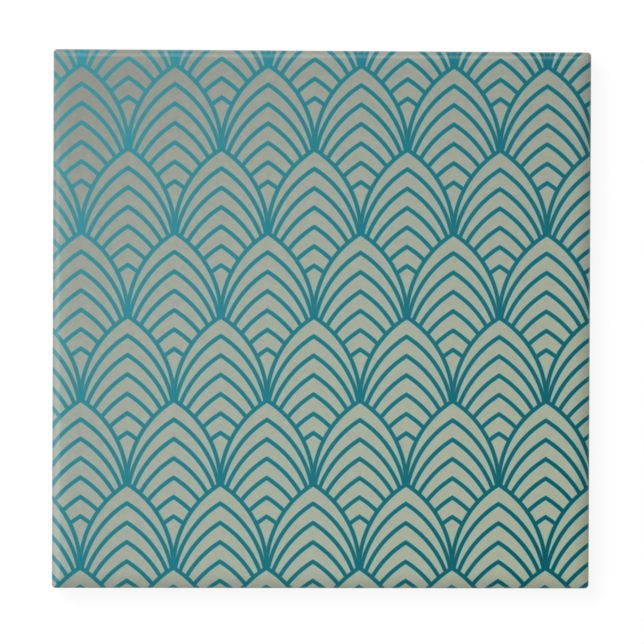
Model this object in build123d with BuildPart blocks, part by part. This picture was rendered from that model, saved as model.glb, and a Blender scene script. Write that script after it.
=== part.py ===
from build123d import *
from math import radians, tan
import os

# Square glazed ceramic wall tile with a cushion edge and a keyed back, pressed and fired as one piece.
# Millimetres. The tile lies on its back: Z = 0 is the plane of the back's rim and ribs, the glazed face is up,
# and the upright direction of the print is +Y.

# Outline and thickness
side = 108.0  # square outline, nominal 4 1/4 in
thickness = 6.0  # from the back's ribs to the flat of the glazed face
corner_radius = 0.8  # corners of the outline, seen from above

# Cushion edge: the face rolls down to the outline
roll_width = 3.4  # from the outline in to the flat of the face
roll_drop = 1.1  # from the flat of the face down to the outline
arris_radius = 1.0  # rounds the roll into the side

# Sides: upright at the top and drafted in towards the back, so that the tile leaves its die
draft_height = 3.6  # the drafted part, up from the back
side_draft = 3.0  # degrees

# Keyed back: square recesses between ribs, which the adhesive grips
key_count = 6  # recesses along each side
rim_width = 5.0  # plain border round the recesses
rib_width = 3.2  # between neighbouring recesses
key_depth = 0.7
key_corner = 1.4  # corners of a recess at the back's plane
key_draft = 35.0  # degrees, slope of a recess's walls

half_side = side / 2
half_flat = half_side - roll_width
edge_height = thickness - roll_drop
back_side = side - 2 * draft_height * tan(radians(side_draft))
key_size = (back_side - 2 * rim_width - (key_count - 1) * rib_width) / key_count
key_pitch = key_size + rib_width

with BuildPart() as tile:
    # Pressed body: a square with rounded corners, drafted below and upright above
    with BuildSketch():
        RectangleRounded(side, side, corner_radius)
    extrude(amount=draft_height)
    drafted_sides = tile.faces().filter_by(Axis.Z, reverse=True)
    draft(drafted_sides, Plane.XY.offset(draft_height), -side_draft)
    extrude(tile.faces().sort_by(Axis.Z)[-1], amount=thickness - draft_height)

    # Cushion edge: the same rolled section, run across the tile both ways
    for section_plane in (Plane.XZ, Plane.YZ):
        with BuildSketch(section_plane) as section:
            with BuildLine():
                floor_line = Line((-half_side, 0), (half_side, 0))
                right_side = Line(floor_line @ 1, (half_side, edge_height))
                left_side = Line(floor_line @ 0, (-half_side, edge_height))
                flat = Line((-half_flat, thickness), (half_flat, thickness))
                TangentArc(flat @ 1, right_side @ 1, tangent=(1, 0))
                TangentArc(flat @ 0, left_side @ 1, tangent=(-1, 0))
            make_face()
            fillet(section.vertices().group_by(Axis.Y)[1], radius=arris_radius)
        extrude(amount=side, both=True, mode=Mode.INTERSECT)

    # Keyed back
    with BuildSketch():
        with GridLocations(key_pitch, key_pitch, key_count, key_count):
            RectangleRounded(key_size, key_size, key_corner)
    extrude(amount=key_depth, taper=key_draft, mode=Mode.SUBTRACT)

tile.part.label = "tile"

os.makedirs("parts", exist_ok=True)
export_step(tile.part, "parts/tile.step")
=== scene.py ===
"""Looks of a square glazed wall tile that lies on its back: printed face, rolled edge, sides, keyed back.

The scene is in metres. Lengths of the tile are written in millimetres and turned into metres by MM.
"""

import math

import bpy
from mathutils import Matrix, Vector


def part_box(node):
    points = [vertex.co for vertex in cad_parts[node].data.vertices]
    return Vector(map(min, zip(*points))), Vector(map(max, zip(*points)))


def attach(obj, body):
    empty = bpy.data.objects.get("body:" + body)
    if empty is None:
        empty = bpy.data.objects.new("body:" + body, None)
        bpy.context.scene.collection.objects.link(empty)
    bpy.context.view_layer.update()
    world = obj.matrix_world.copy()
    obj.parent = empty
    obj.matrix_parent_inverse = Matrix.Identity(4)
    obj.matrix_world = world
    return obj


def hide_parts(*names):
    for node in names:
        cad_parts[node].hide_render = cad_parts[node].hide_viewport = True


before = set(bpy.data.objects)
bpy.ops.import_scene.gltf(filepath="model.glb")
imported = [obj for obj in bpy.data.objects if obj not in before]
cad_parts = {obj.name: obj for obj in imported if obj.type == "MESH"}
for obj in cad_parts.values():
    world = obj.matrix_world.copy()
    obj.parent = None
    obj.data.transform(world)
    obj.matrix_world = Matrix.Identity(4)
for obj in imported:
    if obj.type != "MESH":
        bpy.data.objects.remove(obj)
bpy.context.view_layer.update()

MM = 0.001

# Tile, in millimetres: the outer sizes come from the frame, the rest repeats the part's own values
tile_low, tile_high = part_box("tile")
SIDE = (tile_high[0] - tile_low[0]) / MM
THICKNESS = (tile_high[2] - tile_low[2]) / MM
CORNER_RADIUS = 0.8
ROLL_WIDTH = 3.4
ROLL_DROP = 1.1
ARRIS_RADIUS = 1.0
DRAFT_HEIGHT = 3.6
SIDE_DRAFT = math.radians(3.0)
KEY_COUNT = 6
RIM_WIDTH = 5.0
RIB_WIDTH = 3.2
KEY_DEPTH = 0.7
KEY_CORNER = 1.4
KEY_DRAFT = math.radians(35.0)

HALF = SIDE / 2
BACK_SIDE = SIDE - 2 * DRAFT_HEIGHT * math.tan(SIDE_DRAFT)
KEY_SIZE = (BACK_SIDE - 2 * RIM_WIDTH - (KEY_COUNT - 1) * RIB_WIDTH) / KEY_COUNT
KEY_PITCH = KEY_SIZE + RIB_WIDTH
KEY_FIELD = KEY_COUNT * KEY_PITCH / 2  # half the width of the recesses' grid

# Softness that pressing, glaze and firing leave, in millimetres
MITRE_SOFTENING = 0.15  # growth of the corner's radius for each millimetre in from the outline
BACK_EDGE_RADIUS = 0.3
KEY_EDGE_RADIUS = 0.15
GLAZE_DIP = 0.02  # deepest of the glaze's slow waves
WAVE_LENGTHS = (41.0, 29.0)  # along x and y
WAVE_PHASES = (0.7, 2.1)

# Steps of the mesh
KEY_STEPS = 18  # along one side of a recess's cell
SIDE_STEPS = KEY_COUNT * KEY_STEPS
CORNER_STEPS = 8  # of a side's steps, those at each end that run round the corner
ROLL_STEPS = 16
ARRIS_STEPS = 8
WALL_STEPS = 3  # of a side's upright part, and of its drafted part
BACK_EDGE_STEPS = 4
KEY_EDGE_STEPS = 3
SHARP_ANGLE = math.radians(50.0)  # faces that meet more sharply keep a crisp edge

# Print: overlapping scallops, each a pointed arch with like arches nested below its tip, in millimetres
COLUMN_PITCH = 18.64
ROW_PITCH = 16.78
ARC_RADIUS = (ROW_PITCH**2 + (COLUMN_PITCH / 2) ** 2) / COLUMN_PITCH
ARC_STEP = 3.88  # from an arch down to the one nested in it
INNER_ARCS = 6
TIP_X = -1.69  # tip of one arch, from the tile's middle
TIP_Y = 0.56
HALF_COLUMN = 0.5  # as a share of a column: each row's shift, and an arch's reach to either side
EDGE_STRETCH = 0.38  # by which the print is drawn out at the right edge
STRETCH_WIDTH = 15.0  # of the print's border there
LINE_WIDTH = 0.84
LINE_SOFTNESS = 0.12  # over which a line's edge fades, each way
BLEED_WIDTH = 0.5  # of the faint ink that ran into the glaze beside a line
BLEED_PALE = 0.37  # its strength beside the palest line
BLEED_DEEP = 0.6  # and beside the deepest
POOL_SPAN = (1.0, 1.5)  # crowding of lines, from a single one to where their ink has pooled

# Fade of the print, from the upper left to the lower right, in millimetres from the tile's middle: the
# ink's fade and the ground's warmth are the print's own, the ground's greying is partly painted shade
INK_FALL_X = 0.877  # how fast the ink deepens to the right
INK_FALL_Y = 0.436  # and downwards
INK_FALL_OUT = 0.00317  # and away from the middle, by each square millimetre
PALE_REACH = 45.0  # along that fall, to the palest ink
DEEP_REACH = 70.0  # and to the deepest
WARM_REACH = 60.0  # to the coolest ground at the upper left, and to the warmest at the lower right
# The ground greys and darkens away from this spot, partly in its own colour and partly as painted shade
SAGE_X = 30.8  # where the ground is least grey
SAGE_Y = -52.5
SAGE_REACH = 124.6  # from there to where it is all grey
MOTTLE_SIZE = 1.5  # of faint flecks in the ground
MOTTLE_STRENGTH = 0.12  # as a share of the way from sage to grey

# Glaze and clay, with sizes and heights in millimetres
NOISE_SPAN = (0.25, 0.75)  # in which nearly all values of a noise lie
NOISE_MIDDLE = (0.3, 0.7)  # and most of them
REFRACTION = 1.5  # index of the glaze and of the clay
GLOSS_PATCH = 6.0  # size of the patches where the glaze is glossier or duller
GLAZE_ROUGHNESS = (0.08, 0.13)
PEEL_SIZE = 1.6  # of the glaze's fine unevenness
PEEL_STRENGTH = 0.06
PEEL_DEPTH = 0.02
RUN_WANDER = 0.3  # by which the print and the glaze end higher or lower on the sides
RUN_SIZE = 7.0  # of the runs that this makes
PRINT_END = (4.0, 4.3)  # heights between which the print gives way to white glaze
GLAZE_END = (2.9, 3.1)  # and the white glaze to clay
RUN_ROUGHNESS = 0.12
CLAY_ROUGHNESS = 0.85
CLAY_PATCH = 14.0  # size of the patches where the clay is darker
GRAIN_SIZE = 0.35
GRAIN_STRENGTH = 0.35
GRAIN_DEPTH = 0.15
GLAZE_LEVEL = 0.6  # of the smooth glaze among the grain's heights
SPECK_SPAN = (0.6, 0.75)  # heights of the grain that show as dark specks
SPECK_STRENGTH = 0.35

# Bake map: the face takes most of it, the sides are strips beside it and the back is a small square
FACE_MAP = 0.84
MAP_GAP = 0.01
STRIP_HEIGHT = 0.045
BACK_MAP = 0.11

# Floor: near the tile its shade carries the shadow and its glow makes up white, far off it is plain white
FLOOR_HALF = 4.0  # metres
FLOOR_SHADE = 0.14
FLOOR_GLOW = 0.87
GLOW_REACH = (0.3, 1.5)  # metres from the tile's middle, between which the glow grows to plain white
FLOOR_BOUNCE = 0.5  # share of the light that it throws back at the tile

# Room, by the height of a direction: 0 at the horizon and 1 straight up
HORIZON_END = (0.04, 0.1)  # heights between which the white horizon gives way to the walls
WALL_END = (0.3, 0.55)  # and the walls to the ceiling
WALL_LIGHT = 0.42
CEILING_LIGHT = 0.05
ROOM_LIGHT = 0.05  # that the tile gathers from every side

LAMP_DISTANCE = 2.0  # metres, from the tile's middle

# Camera, nearly straight above the tile and aimed at its face
CAMERA_PLACE = Vector((-25.8, 6.9, 722.7)) * MM
CAMERA_AIM = Vector((-0.06, -0.45, THICKNESS)) * MM
CAMERA_ROLL = math.radians(0.24)
CAMERA_LENS = 200.0


def linear(red, green, blue):
    """A colour's eight-bit screen values as the linear values that shaders take, with full alpha."""

    def one_value(share):
        if share <= 0.04045:
            return share / 12.92
        return ((share + 0.055) / 1.055) ** 2.4

    return [one_value(value / 255) for value in (red, green, blue)] + [1.0]


GROUND_COOL = linear(176, 184, 171)
GROUND_WARM = linear(169, 174, 152)
# Grey of the ground far from its sage spot: partly its own colour, partly painted shade
GROUND_GREY = linear(145, 147, 138)
INK_PALE = linear(70, 141, 147)
INK_MIDDLE = linear(39, 118, 126)
INK_DEEP = linear(7, 89, 96)
BLEED_TINT = (0.47, 1.23, 1.62, 1.0)  # what the bleed makes of the ground's colour, as factors
POOL_TINT = (0.70, 1.05, 1.15, 1.0)  # what pooled ink makes of the ink's colour, as factors
GLAZE_WHITE = linear(226, 226, 219)
BISQUE = linear(234, 228, 215)
BISQUE_DARK = linear(214, 204, 186)


# Mesh of the tile
def soften_corner(x, y, half, radius):
    """Moves a point of a square to the same square with round corners."""
    reach_x = abs(x) - (half - radius)
    reach_y = abs(y) - (half - radius)
    if min(reach_x, reach_y) <= 0:
        return x, y
    far = max(reach_x, reach_y)
    turn = math.pi / 4 * min(reach_x, reach_y) / far
    long_leg, short_leg = far * math.cos(turn), far * math.sin(turn)
    leg_x, leg_y = (long_leg, short_leg) if reach_x >= reach_y else (short_leg, long_leg)
    return math.copysign(half - radius + leg_x, x), math.copysign(half - radius + leg_y, y)


def side_marks(half, radius):
    """Places along one side of a rounded square: close together round its corners, even between them."""
    straight = SIDE_STEPS - 2 * CORNER_STEPS
    inner = half - radius
    corner = [-half + radius * step / CORNER_STEPS for step in range(CORNER_STEPS)]
    middle = [-inner + 2 * inner * step / straight for step in range(straight + 1)]
    return corner + middle + [-mark for mark in reversed(corner)]


def square_ring(marks, half):
    """Points round a square, side by side from its lower left corner."""
    sides = (
        lambda mark: (mark, -half),
        lambda mark: (half, mark),
        lambda mark: (-mark, half),
        lambda mark: (-half, -mark),
    )
    return [side(mark) for side in sides for mark in marks[:-1]]


def edge_profile():
    """The section's edge, from the flat of the face down to the back.

    Returns (inset from the outline, height) pairs, and the index of the pair where the face ends.
    """
    roll_radius = (ROLL_WIDTH**2 + ROLL_DROP**2) / (2 * ROLL_DROP)
    inner_leg = ROLL_WIDTH - ARRIS_RADIUS
    tangent = math.asin(inner_leg / (roll_radius - ARRIS_RADIUS))
    arris_height = THICKNESS - roll_radius + inner_leg / math.tan(tangent)
    profile = []
    for step in range(ROLL_STEPS):
        turn = tangent * step / ROLL_STEPS
        inset = ROLL_WIDTH - roll_radius * math.sin(turn)
        profile.append((inset, THICKNESS - roll_radius * (1 - math.cos(turn))))
    for step in range(ARRIS_STEPS + 1):
        turn = tangent + (math.pi / 2 - tangent) * step / ARRIS_STEPS
        inset = ARRIS_RADIUS * (1 - math.sin(turn))
        profile.append((inset, arris_height + ARRIS_RADIUS * math.cos(turn)))
    face_end = len(profile) - 1
    for step in range(1, WALL_STEPS + 1):
        profile.append((0.0, arris_height + (DRAFT_HEIGHT - arris_height) * step / WALL_STEPS))
    for step in range(1, WALL_STEPS + 1):
        height = DRAFT_HEIGHT + (BACK_EDGE_RADIUS - DRAFT_HEIGHT) * step / WALL_STEPS
        profile.append(((DRAFT_HEIGHT - height) * math.tan(SIDE_DRAFT), height))
    back_inset = profile[-1][0]
    for step in range(1, BACK_EDGE_STEPS + 1):
        turn = math.pi / 2 * step / BACK_EDGE_STEPS
        inset = back_inset + BACK_EDGE_RADIUS * (1 - math.cos(turn))
        profile.append((inset, BACK_EDGE_RADIUS * (1 - math.sin(turn))))
    return profile, face_end


def glaze_dip(x, y):
    """How far the glaze lies below the flat at a point of the face: slow waves that die out at the roll."""
    inset = HALF - max(abs(x), abs(y))
    fade = min(1.0, max(0.0, (inset - ROLL_WIDTH) / ROLL_WIDTH))
    wave_x = math.sin(2 * math.pi * x / WAVE_LENGTHS[0] + WAVE_PHASES[0])
    wave_y = math.sin(2 * math.pi * y / WAVE_LENGTHS[1] + WAVE_PHASES[1])
    return GLAZE_DIP * fade * (2 + wave_x + wave_y) / 4


class TileMesh:
    """Collects the points and faces of the tile, with a place on the bake map for each corner of a face."""

    GLAZED, BARE = 0, 1

    def __init__(self):
        self.points = []
        self.faces = []
        self.places = []
        self.slots = []

    def point(self, x, y, z):
        self.points.append((x, y, z))
        return len(self.points) - 1

    def face(self, corners, places, slot):
        self.faces.append(corners)
        self.places.append(places)
        self.slots.append(slot)

    def flat_face(self, corners, slot, span, offset):
        """A face that lies on the map as it is seen from above."""
        places = []
        for corner in corners:
            x, y, _ = self.points[corner]
            places.append((offset + span * (x / SIDE + 0.5), offset + span * (y / SIDE + 0.5)))
        self.face(corners, places, slot)

    def glazed_face(self, *corners):
        self.flat_face(corners, self.GLAZED, FACE_MAP, MAP_GAP)

    def back_face(self, *corners):
        self.flat_face(corners, self.BARE, BACK_MAP, FACE_MAP + 2 * MAP_GAP)

    def to_object(self, name, materials):
        mesh = bpy.data.meshes.new(name)
        mesh.from_pydata([[value * MM for value in point] for point in self.points], [], self.faces)
        for material in materials:
            mesh.materials.append(material)
        mesh.polygons.foreach_set("material_index", self.slots)
        bake_map = mesh.uv_layers.new(name="OFBake")
        map_values = [value for face in self.places for place in face for value in place]
        bake_map.data.foreach_set("uv", map_values)
        mesh.shade_smooth()
        mesh.set_sharp_from_angle(angle=SHARP_ANGLE)
        piece = bpy.data.objects.new(name, mesh)
        bpy.context.scene.collection.objects.link(piece)
        return piece


def strip_place(side, along, down):
    """Place on the bake map of a point of a side: sides 0 and 2 lie above the face, 1 and 3 beside it."""
    lane = FACE_MAP + 2 * MAP_GAP + (side // 2) * (STRIP_HEIGHT + MAP_GAP) + STRIP_HEIGHT * down
    run = MAP_GAP + FACE_MAP * along
    return (run, lane) if side % 2 == 0 else (lane, run)


def add_face(tile_mesh):
    """Adds the flat of the face, and returns its boundary as a ring of points."""
    half = HALF - ROLL_WIDTH
    radius = CORNER_RADIUS + MITRE_SOFTENING * ROLL_WIDTH
    marks = side_marks(half, radius)
    grid = []
    for y in marks:
        row = []
        for x in marks:
            soft_x, soft_y = soften_corner(x, y, half, radius)
            row.append(tile_mesh.point(soft_x, soft_y, THICKNESS - glaze_dip(soft_x, soft_y)))
        grid.append(row)
    last = SIDE_STEPS
    for j in range(last):
        for i in range(last):
            tile_mesh.glazed_face(grid[j][i], grid[j][i + 1], grid[j + 1][i + 1], grid[j + 1][i])
    front = grid[0][:last]
    right = [row[last] for row in grid[:last]]
    back = grid[last][:0:-1]
    left = [row[0] for row in grid[:0:-1]]
    return front + right + back + left


def add_edge(tile_mesh, ring):
    """Adds the rolled edge and the sides, ring by ring from the face, and returns the ring at the back."""
    profile, face_end = edge_profile()
    lengths = [0.0]
    for near, far in zip(profile, profile[1:]):
        lengths.append(lengths[-1] + math.dist(near, far))
    wall_start = lengths[face_end]
    wall_length = lengths[-1] - wall_start
    count = len(ring)
    marks = side_marks(HALF, CORNER_RADIUS)
    shares = [(mark + HALF) / SIDE for mark in marks]
    for station in range(1, len(profile)):
        inset, height = profile[station]
        half = HALF - inset
        on_face = station <= face_end
        radius = CORNER_RADIUS + (MITRE_SOFTENING * inset if on_face else -inset)
        outline = square_ring(side_marks(half, radius), half)
        soft = [soften_corner(x, y, half, radius) for x, y in outline]
        lower = [tile_mesh.point(x, y, height) for x, y in soft]
        top = (lengths[station - 1] - wall_start) / wall_length
        bottom = (lengths[station] - wall_start) / wall_length
        for i in range(count):
            after = (i + 1) % count
            corners = (ring[i], lower[i], lower[after], ring[after])
            if on_face:
                tile_mesh.glazed_face(*corners)
                continue
            side, step = divmod(i, SIDE_STEPS)
            start, end = shares[step], shares[step + 1]
            spots = ((start, top), (start, bottom), (end, bottom), (end, top))
            tile_mesh.face(corners, [strip_place(side, *spot) for spot in spots], tile_mesh.BARE)
        ring = lower
    return ring


def recess_profile():
    """A recess's wall from the back's plane in to its floor: (inset from its outline, depth) pairs."""
    turn = math.pi / 2 - KEY_DRAFT
    reach = KEY_EDGE_RADIUS * math.tan(turn / 2)
    profile = []
    for step in range(KEY_EDGE_STEPS + 1):
        angle = turn * step / KEY_EDGE_STEPS
        inset = -reach + KEY_EDGE_RADIUS * math.sin(angle)
        profile.append((inset, KEY_EDGE_RADIUS * (1 - math.cos(angle))))
    profile.append((KEY_DEPTH * math.tan(KEY_DRAFT), KEY_DEPTH))
    return profile


def add_back(tile_mesh, ring):
    """Adds the keyed back: a grid of recesses with sloping walls, and the rim between it and the sides."""
    lattice = {}

    def lattice_point(column, row):
        if (column, row) not in lattice:
            x = -KEY_FIELD + KEY_PITCH * column / KEY_STEPS
            y = -KEY_FIELD + KEY_PITCH * row / KEY_STEPS
            lattice[column, row] = tile_mesh.point(x, y, 0.0)
        return lattice[column, row]

    def lattice_ring(column, row, steps):
        last_column, last_row = column + steps, row + steps
        front = [lattice_point(column + step, row) for step in range(steps)]
        right = [lattice_point(last_column, row + step) for step in range(steps)]
        back = [lattice_point(last_column - step, last_row) for step in range(steps)]
        left = [lattice_point(column, last_row - step) for step in range(steps)]
        return front + right + back + left

    def join(outer, inner):
        count = len(outer)
        for i in range(count):
            after = (i + 1) % count
            tile_mesh.back_face(outer[i], inner[i], inner[after], outer[after])

    join(ring, lattice_ring(0, 0, SIDE_STEPS))
    marks = [2 * step / KEY_STEPS - 1 for step in range(KEY_STEPS + 1)]
    for column in range(KEY_COUNT):
        for row in range(KEY_COUNT):
            middle_x = -KEY_FIELD + KEY_PITCH * (column + 0.5)
            middle_y = -KEY_FIELD + KEY_PITCH * (row + 0.5)
            outer = lattice_ring(column * KEY_STEPS, row * KEY_STEPS, KEY_STEPS)
            for inset, depth in recess_profile():
                half = KEY_SIZE / 2 - inset
                radius = KEY_CORNER - inset
                outline = square_ring([mark * half for mark in marks], half)
                soft = [soften_corner(x, y, half, radius) for x, y in outline]
                inner = [tile_mesh.point(middle_x + x, middle_y + y, depth) for x, y in soft]
                join(outer, inner)
                outer = inner
            tile_mesh.back_face(*reversed(outer))


# Materials
class Nodes:
    """Adds shader nodes to a material or a world.

    A number, a colour or another node's output goes in as a value.
    """

    def __init__(self, owner):
        owner.use_nodes = True
        self.tree = owner.node_tree
        self.tree.nodes.clear()

    def add(self, kind, **settings):
        node = self.tree.nodes.new(kind)
        for name, value in settings.items():
            setattr(node, name, value)
        return node

    def feed(self, socket, value):
        if isinstance(value, bpy.types.NodeSocket):
            self.tree.links.new(value, socket)
        else:
            socket.default_value = value

    def calc(self, operation, *values):
        node = self.add("ShaderNodeMath", operation=operation)
        for socket, value in zip(node.inputs, values):
            self.feed(socket, value)
        return node.outputs["Value"]

    def squares(self, first, second):
        """The sum of two numbers' squares."""
        return self.calc("ADD", self.calc("MULTIPLY", first, first), self.calc("MULTIPLY", second, second))

    def fade(self, value, start, end, first=0.0, last=1.0, smooth=False):
        """first at start, last at end and a fade between them."""
        node = self.add("ShaderNodeMapRange", interpolation_type="SMOOTHSTEP" if smooth else "LINEAR")
        names = ("Value", "From Min", "From Max", "To Min", "To Max")
        for name, given in zip(names, (value, start, end, first, last)):
            self.feed(node.inputs[name], given)
        return node.outputs["Result"]

    def mix(self, kind, share, first, second, way="MIX"):
        node = self.add("ShaderNodeMix", data_type="RGBA" if kind == "Color" else "FLOAT", blend_type=way)
        sockets = {socket.identifier: socket for socket in node.inputs}
        self.feed(sockets["Factor_Float"], share)
        self.feed(sockets["A_" + kind], first)
        self.feed(sockets["B_" + kind], second)
        return next(socket for socket in node.outputs if socket.identifier == "Result_" + kind)

    def blend(self, share, first, second):
        """A mix of two colours."""
        return self.mix("Color", share, first, second)

    def tint(self, share, colour, factors):
        """A colour that is multiplied by factors, to the given share."""
        return self.mix("Color", share, colour, factors, way="MULTIPLY")

    def choose(self, share, first, second):
        """A mix of two numbers."""
        return self.mix("Float", share, first, second)

    def noise(self, place, size, detail=2.0):
        """Noise from 0 to 1 with features of about that size."""
        node = self.add("ShaderNodeTexNoise")
        self.feed(node.inputs["Vector"], place)
        node.inputs["Scale"].default_value = 1 / size
        node.inputs["Detail"].default_value = detail
        return node.outputs["Fac"]

    def place_mm(self):
        """The point's place on the tile in millimetres: the vector, and its x, y and z."""
        source = self.add("ShaderNodeTexCoord")
        scaled = self.add("ShaderNodeVectorMath", operation="SCALE")
        self.feed(scaled.inputs[0], source.outputs["Object"])
        scaled.inputs["Scale"].default_value = 1 / MM
        parts = self.add("ShaderNodeSeparateXYZ")
        self.feed(parts.inputs[0], scaled.outputs[0])
        return scaled.outputs[0], *parts.outputs

    def seen(self):
        """1 for a ray that shows the point, straight or mirrored, and 0 for one that gathers light."""
        path = self.add("ShaderNodeLightPath")
        mirrored = self.calc("MAXIMUM", path.outputs["Is Glossy Ray"], path.outputs["Is Transmission Ray"])
        return self.calc("MAXIMUM", path.outputs["Is Camera Ray"], mirrored)

    def bump(self, height, strength, distance):
        node = self.add("ShaderNodeBump")
        node.inputs["Strength"].default_value = strength
        node.inputs["Distance"].default_value = distance
        self.feed(node.inputs["Height"], height)
        return node.outputs["Normal"]

    def surface(self, colour, roughness, normal):
        shader = self.add("ShaderNodeBsdfPrincipled")
        self.feed(shader.inputs["Base Color"], colour)
        self.feed(shader.inputs["Roughness"], roughness)
        self.feed(shader.inputs["Normal"], normal)
        shader.inputs["IOR"].default_value = REFRACTION
        output = self.add("ShaderNodeOutputMaterial")
        self.feed(output.inputs["Surface"], shader.outputs[0])


def nearest_line(nodes, x, y):
    """How far a point of the print is from the middle of the nearest line, and how much lines crowd there.

    Rows of arches hang one over the other, each row half a column aside and the lower row in front. Below
    its outline an arch repeats the same arc, moved straight down by a step at a time. A line adds 1 to the
    crowd at its middle, and nothing from its width away.
    """
    calc = nodes.calc
    rows_down = calc("DIVIDE", calc("SUBTRACT", TIP_Y, y), ROW_PITCH)
    row = calc("FLOOR", rows_down)
    depth = calc("MULTIPLY", calc("SUBTRACT", rows_down, row), ROW_PITCH)
    columns = calc("DIVIDE", calc("SUBTRACT", x, TIP_X), COLUMN_PITCH)
    shifted = calc("SUBTRACT", columns, calc("MULTIPLY", row, HALF_COLUMN))
    aside = calc("MULTIPLY", calc("PINGPONG", shifted, HALF_COLUMN), COLUMN_PITCH)

    # Distances across from the arcs' centres, and how far below the point their feet are: for the row's own
    # arch, the one beside it, the next row down and the row behind
    own_reach = calc("ADD", aside, ARC_RADIUS - COLUMN_PITCH / 2)
    next_reach = calc("SUBTRACT", ARC_RADIUS, aside)
    side_reach = calc("ADD", next_reach, COLUMN_PITCH / 2)
    own_foot = calc("SUBTRACT", ROW_PITCH, depth)
    next_foot = calc("ADD", own_foot, ROW_PITCH)
    behind_foot = calc("SUBTRACT", own_foot, ROW_PITCH)

    def arc_gap(reach, foot):
        distance = calc("SQRT", nodes.squares(reach, foot))
        return calc("ABSOLUTE", calc("SUBTRACT", distance, ARC_RADIUS))

    def arc_rise(reach):
        squared = calc("SUBTRACT", ARC_RADIUS**2, calc("MULTIPLY", reach, reach))
        return calc("SQRT", calc("MAXIMUM", squared, 0.0))

    # Inside the row's own arch its inner arcs show, and outside it the arcs of the row behind, which lies
    # half a column aside like the next one
    inside = calc("GREATER_THAN", arc_rise(own_reach), own_foot)
    reach = nodes.choose(inside, next_reach, own_reach)
    foot = nodes.choose(inside, behind_foot, own_foot)
    below_outline = calc("SUBTRACT", arc_rise(reach), foot)
    steps_down = calc("FLOOR", calc("DIVIDE", below_outline, ARC_STEP))
    inner_gaps = []
    for further in (0, 1):
        # The own outline is counted with the outlines, so inside it the first arc is one step down
        arc = calc("MAXIMUM", calc("ADD", steps_down, further), inside)
        arc = calc("MINIMUM", arc, INNER_ARCS)
        arc_foot = calc("ADD", foot, calc("MULTIPLY", arc, ARC_STEP))
        inner_gaps.append(arc_gap(reach, arc_foot))
    nearest = calc("MINIMUM", *inner_gaps)
    crowd = nodes.fade(nearest, 0.0, LINE_WIDTH, 1.0, 0.0)
    outlines = ((own_reach, own_foot), (side_reach, own_foot), (next_reach, next_foot))
    for outline_reach, outline_foot in outlines:
        gap = arc_gap(outline_reach, outline_foot)
        nearest = calc("MINIMUM", nearest, gap)
        crowd = calc("ADD", crowd, nodes.fade(gap, 0.0, LINE_WIDTH, 1.0, 0.0))
    return nearest, crowd


def print_with_painted_shade(nodes, place, x, y):
    """The print under the glaze: a sage ground that greys and darkens towards the upper left, partly in its
    own colour and partly as painted shade, and teal lines that pale to the upper left.
    """
    calc = nodes.calc
    stretch = nodes.fade(x, HALF - STRETCH_WIDTH, HALF, 0.0, EDGE_STRETCH)
    gap, crowd = nearest_line(nodes, calc("SUBTRACT", x, stretch), y)
    edge = LINE_WIDTH / 2
    lines = nodes.fade(gap, edge - LINE_SOFTNESS, edge + LINE_SOFTNESS, 1.0, 0.0, smooth=True)

    # Ink, bluer where it pooled
    aslant = calc("SUBTRACT", calc("MULTIPLY", x, INK_FALL_X), calc("MULTIPLY", y, INK_FALL_Y))
    outward = nodes.squares(x, y)
    ink_fall = calc("ADD", aslant, calc("MULTIPLY", outward, INK_FALL_OUT))
    upper_ink = nodes.blend(nodes.fade(ink_fall, -PALE_REACH, 0.0), INK_PALE, INK_MIDDLE)
    ink = nodes.blend(nodes.fade(ink_fall, 0.0, DEEP_REACH), upper_ink, INK_DEEP)
    pooled_ink = nodes.tint(nodes.fade(crowd, *POOL_SPAN), ink, POOL_TINT)

    # Ground, greying and darkening away from its sage spot partly as painted shade, with the ink that ran
    # into it beside the lines
    across = calc("DIVIDE", calc("SUBTRACT", x, SAGE_X), SAGE_REACH)
    along = calc("DIVIDE", calc("SUBTRACT", y, SAGE_Y), SAGE_REACH)
    grey_and_painted_shade = nodes.squares(across, along)
    mottle = nodes.fade(nodes.noise(place, MOTTLE_SIZE), *NOISE_SPAN, -MOTTLE_STRENGTH, MOTTLE_STRENGTH)
    sage = nodes.blend(nodes.fade(aslant, -WARM_REACH, WARM_REACH), GROUND_COOL, GROUND_WARM)
    ground = nodes.blend(calc("ADD", grey_and_painted_shade, mottle), sage, GROUND_GREY)
    strength = nodes.fade(ink_fall, -PALE_REACH, DEEP_REACH, BLEED_PALE, BLEED_DEEP)
    bleed = nodes.fade(gap, edge, edge + BLEED_WIDTH, strength, 0.0, smooth=True)
    return nodes.blend(lines, nodes.tint(bleed, ground, BLEED_TINT), pooled_ink)


def printed_glaze():
    """Clear gloss glaze over the print."""
    material = bpy.data.materials.new("printed_glaze")
    nodes = Nodes(material)
    place, x, y, _ = nodes.place_mm()
    colour = print_with_painted_shade(nodes, place, x, y)
    roughness = nodes.fade(nodes.noise(place, GLOSS_PATCH), *NOISE_MIDDLE, *GLAZE_ROUGHNESS)
    normal = nodes.bump(nodes.noise(place, PEEL_SIZE), PEEL_STRENGTH, PEEL_DEPTH * MM)
    nodes.surface(colour, roughness, normal)
    return material


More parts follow.
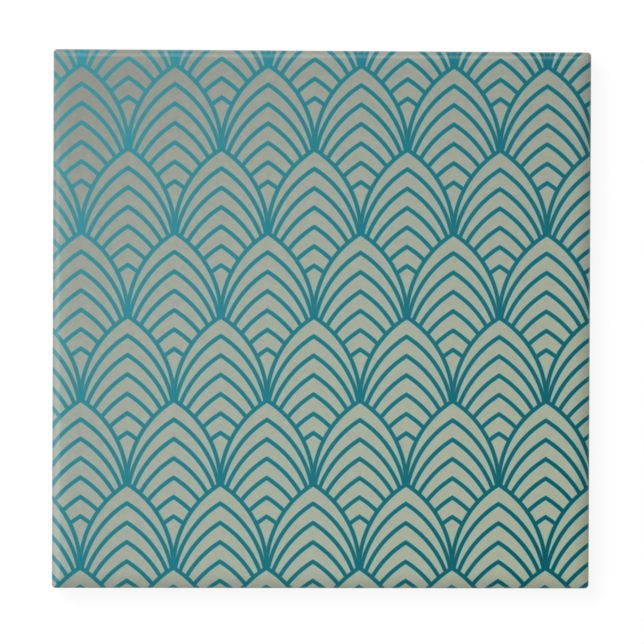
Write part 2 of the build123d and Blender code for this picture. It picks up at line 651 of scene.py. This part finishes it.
def pressed_clay():
    """Sides and back: print and white glaze run over the arris and end unevenly, and below is bare clay."""
    material = bpy.data.materials.new("pressed_clay")
    nodes = Nodes(material)
    place, x, y, z = nodes.place_mm()
    wander = nodes.fade(nodes.noise(place, RUN_SIZE, detail=3.0), *NOISE_SPAN, -RUN_WANDER, RUN_WANDER)
    level = nodes.calc("ADD", z, wander)
    printed = nodes.fade(level, *PRINT_END)
    glazed = nodes.fade(level, *GLAZE_END, smooth=True)
    patches = nodes.noise(place, CLAY_PATCH, detail=4.0)
    grain = nodes.noise(place, GRAIN_SIZE, detail=3.0)
    clay = nodes.blend(nodes.fade(patches, *NOISE_MIDDLE), BISQUE, BISQUE_DARK)
    specks = nodes.fade(grain, *SPECK_SPAN, 0.0, SPECK_STRENGTH)
    speckled = nodes.blend(specks, clay, BISQUE_DARK)
    glaze = nodes.blend(printed, GLAZE_WHITE, print_with_painted_shade(nodes, place, x, y))
    colour = nodes.blend(glazed, speckled, glaze)
    roughness = nodes.choose(glazed, CLAY_ROUGHNESS, RUN_ROUGHNESS)
    relief = nodes.choose(glazed, grain, GLAZE_LEVEL)
    normal = nodes.bump(relief, GRAIN_STRENGTH, GRAIN_DEPTH * MM)
    nodes.surface(colour, roughness, normal)
    return material


# Studio
def pale_floor():
    """White where it is seen, less the tile's shadow; it throws only part of its light back at the tile."""
    material = bpy.data.materials.new("pale_floor")
    nodes = Nodes(material)
    seen = nodes.seen()
    shade = nodes.add("ShaderNodeBsdfDiffuse")
    nodes.feed(shade.inputs["Color"], nodes.choose(seen, FLOOR_BOUNCE, FLOOR_SHADE))
    spot = nodes.add("ShaderNodeTexCoord")
    span = nodes.add("ShaderNodeVectorMath", operation="LENGTH")
    nodes.feed(span.inputs[0], spot.outputs["Object"])
    white = nodes.fade(span.outputs["Value"], *GLOW_REACH, FLOOR_GLOW, 1.0)
    glow = nodes.add("ShaderNodeEmission")
    nodes.feed(glow.inputs["Strength"], nodes.calc("MULTIPLY", seen, white))
    both = nodes.add("ShaderNodeAddShader")
    nodes.feed(both.inputs[0], shade.outputs[0])
    nodes.feed(both.inputs[1], glow.outputs[0])
    output = nodes.add("ShaderNodeOutputMaterial")
    nodes.feed(output.inputs["Surface"], both.outputs[0])
    return material


def add_floor():
    half = FLOOR_HALF
    corners = [(-half, -half, 0), (half, -half, 0), (half, half, 0), (-half, half, 0)]
    mesh = bpy.data.meshes.new("floor")
    mesh.from_pydata(corners, [], [(0, 1, 2, 3)])
    mesh.materials.append(pale_floor())
    floor = bpy.data.objects.new("floor", mesh)
    bpy.context.scene.collection.objects.link(floor)


def add_softbox(name, azimuth, tilt, width, height, radiance, mirrored=True):
    """An oval soft lamp that faces the tile: azimuth from +X, tilt from straight up, sizes in metres.

    One that isn't mirrored lights the tile with no glint of its own on the glaze.
    """
    lamp = bpy.data.lights.new(name, "AREA")
    lamp.shape = "ELLIPSE"
    lamp.size = width
    lamp.size_y = height
    area = math.pi / 4 * width * height
    lamp.energy = radiance * math.pi * area
    azimuth, tilt = math.radians(azimuth), math.radians(tilt)
    across = math.sin(tilt)
    toward = Vector((across * math.cos(azimuth), across * math.sin(azimuth), math.cos(tilt)))
    softbox = bpy.data.objects.new(name, lamp)
    softbox.location = toward * LAMP_DISTANCE
    softbox.rotation_euler = toward.to_track_quat("Z", "Y").to_euler()
    softbox.visible_camera = False
    softbox.visible_glossy = mirrored
    bpy.context.scene.collection.objects.link(softbox)


def add_world():
    """The room: a white horizon, dim walls and a dark ceiling where it is seen or mirrored.

    The light that the tile gathers from it is even and dim, so that the print shows.
    """
    world = bpy.data.worlds.new("room")
    bpy.context.scene.world = world
    nodes = Nodes(world)
    source = nodes.add("ShaderNodeTexCoord")
    parts = nodes.add("ShaderNodeSeparateXYZ")
    nodes.feed(parts.inputs[0], source.outputs["Generated"])
    height = parts.outputs["Z"]
    horizon = nodes.fade(height, *HORIZON_END, 1.0, 0.0)
    walls = nodes.fade(height, *WALL_END, WALL_LIGHT, CEILING_LIGHT)
    strength = nodes.choose(nodes.seen(), ROOM_LIGHT, nodes.calc("MAXIMUM", horizon, walls))
    background = nodes.add("ShaderNodeBackground")
    background.inputs["Color"].default_value = (1.0, 1.0, 1.0, 1.0)
    nodes.feed(background.inputs["Strength"], strength)
    output = nodes.add("ShaderNodeOutputWorld")
    nodes.feed(output.inputs["Surface"], background.outputs[0])


def add_camera():
    camera = bpy.data.objects.new("camera", bpy.data.cameras.new("camera"))
    camera.data.lens = CAMERA_LENS
    forward = (CAMERA_AIM - CAMERA_PLACE).normalized()
    right = forward.cross(Vector((0, 1, 0))).normalized()
    upward = right.cross(forward)
    turn = Matrix((right, upward, -forward)).transposed().to_4x4() @ Matrix.Rotation(CAMERA_ROLL, 4, "Z")
    camera.matrix_world = Matrix.Translation(CAMERA_PLACE) @ turn
    bpy.context.scene.collection.objects.link(camera)
    bpy.context.scene.camera = camera


tile_mesh = TileMesh()
face_ring = add_face(tile_mesh)
back_ring = add_edge(tile_mesh, face_ring)
add_back(tile_mesh, back_ring)
tile = tile_mesh.to_object("glazed_tile", [printed_glaze(), pressed_clay()])
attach(tile, "root")
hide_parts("tile")

add_floor()
add_world()
add_softbox("key_softbox", azimuth=135, tilt=42, width=1.46, height=1.15, radiance=8.85, mirrored=False)
add_softbox("side_softbox", azimuth=45, tilt=42, width=1.22, height=1.15, radiance=0.9, mirrored=False)
add_softbox("fill_softbox", azimuth=315, tilt=42, width=1.22, height=1.15, radiance=2.9, mirrored=False)
add_softbox("left_softbox", azimuth=200, tilt=55, width=1.46, height=1.30, radiance=1.8)
add_softbox("top_softbox", azimuth=88, tilt=49.5, width=0.90, height=0.48, radiance=1.55)
add_camera()
bpy.context.scene.view_settings.view_transform = "Standard"
